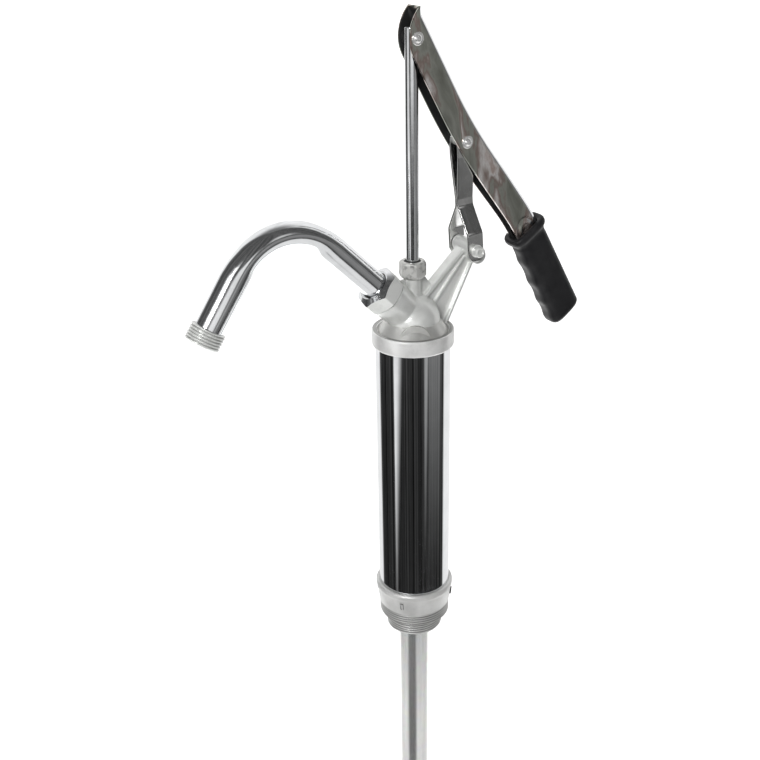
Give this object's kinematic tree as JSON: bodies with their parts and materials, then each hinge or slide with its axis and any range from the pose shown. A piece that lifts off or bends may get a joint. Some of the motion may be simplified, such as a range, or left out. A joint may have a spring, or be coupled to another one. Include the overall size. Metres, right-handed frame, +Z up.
{
  "type": "hand pump",
  "caption": "Lever-action hand pump with a linked handle, gooseneck spout, chrome cylinder, two-step bung adapter and telescoping suction tube.",
  "frame": {"origin": "on the pump axis, at the seat of the large bung thread", "axes": "+Z up the pump axis towards the rod; +X towards the fulcrum arm and the lever's grip; the spout points to -X"},
  "size_m": [0.3535, 0.0664, 1.0248],
  "materials": {
    "cast_zinc": "satin die-cast",
    "chrome": "polished plate",
    "galvanised_tube": "satin galvanised",
    "zinc_plated_steel": "dull zinc plate",
    "stamped_steel": "stamped, bright zinc plate",
    "brass": "machined",
    "grip_rubber": "satin moulded",
    "seal_rubber": "matte",
    "cup_leather": "oiled"
  },
  "bodies": {
    "pump_body": {"bung_adapter": "cast_zinc", "base_gasket": "seal_rubber", "pump_cylinder": "chrome", "head_gasket": "seal_rubber", "pump_head": "cast_zinc", "gland_packing": "seal_rubber", "gland_follower": "brass", "gland_nut": "zinc_plated_steel", "spout_tube": "chrome", "spout_seal": "seal_rubber", "spout_ferrule": "brass", "spout_nut": "chrome", "hose_end": "zinc_plated_steel", "upper_suction_tube": "galvanised_tube", "tube_end_ferrule": "zinc_plated_steel", "foot_valve_seat": "brass", "foot_valve_cage": "zinc_plated_steel"},
    "foot_valve": {"foot_valve_disc": "seal_rubber"},
    "lower_tube": {"lower_suction_tube": "galvanised_tube", "tube_stop_ring": "seal_rubber", "inlet_strainer": "zinc_plated_steel"},
    "rod_and_piston": {"piston_rod": "chrome", "valve_stop_collar": "zinc_plated_steel", "piston_body": "cast_zinc", "piston_cup": "cup_leather", "cup_follower": "cast_zinc", "piston_nut": "zinc_plated_steel"},
    "piston_valve": {"piston_valve_disc": "seal_rubber"},
    "lever": {"lever_channel": "chrome", "lever_grip": "grip_rubber", "rod_pin": "chrome", "rod_pin_washers": "zinc_plated_steel", "link_pin": "chrome"},
    "link": {"front_link_strap": "stamped_steel", "rear_link_strap": "stamped_steel", "link_spacer": "zinc_plated_steel", "fulcrum_pin": "zinc_plated_steel", "fulcrum_pin_cap": "zinc_plated_steel"}
  },
  "joints": [
    {"name": "rod_slide", "type": "slide", "parent": "pump_body", "child": "rod_and_piston", "axis": [0, 0, -1], "range_m": [0, 0.0563]},
    {"name": "lever_hinge", "type": "hinge", "parent": "rod_and_piston", "child": "lever", "pos_m": [0, 0, 0.4775], "axis": [0, -1, 0], "range_deg": [0, 42]},
    {"name": "link_hinge", "type": "hinge", "parent": "lever", "child": "link", "pos_m": [0.044, 0, 0.3985], "axis": [0, 1, 0], "range_deg": [0, 70.2]},
    {"name": "piston_valve_lift", "type": "slide", "parent": "rod_and_piston", "child": "piston_valve", "axis": [0, 0, 1], "range_m": [0, 0.003]},
    {"name": "foot_valve_lift", "type": "slide", "parent": "pump_body", "child": "foot_valve", "axis": [0, 0, 1], "range_m": [0, 0.004]},
    {"name": "tube_extension", "type": "slide", "parent": "pump_body", "child": "lower_tube", "axis": [0, 0, -1], "range_m": [0, 0.38]}
  ],
  "couplings": [
    {"joint": "rod_slide", "follows": "lever_hinge", "m_per_rad": 0.07666},
    {"joint": "link_hinge", "follows": "lever_hinge", "ratio": 1.6664}
  ]
}
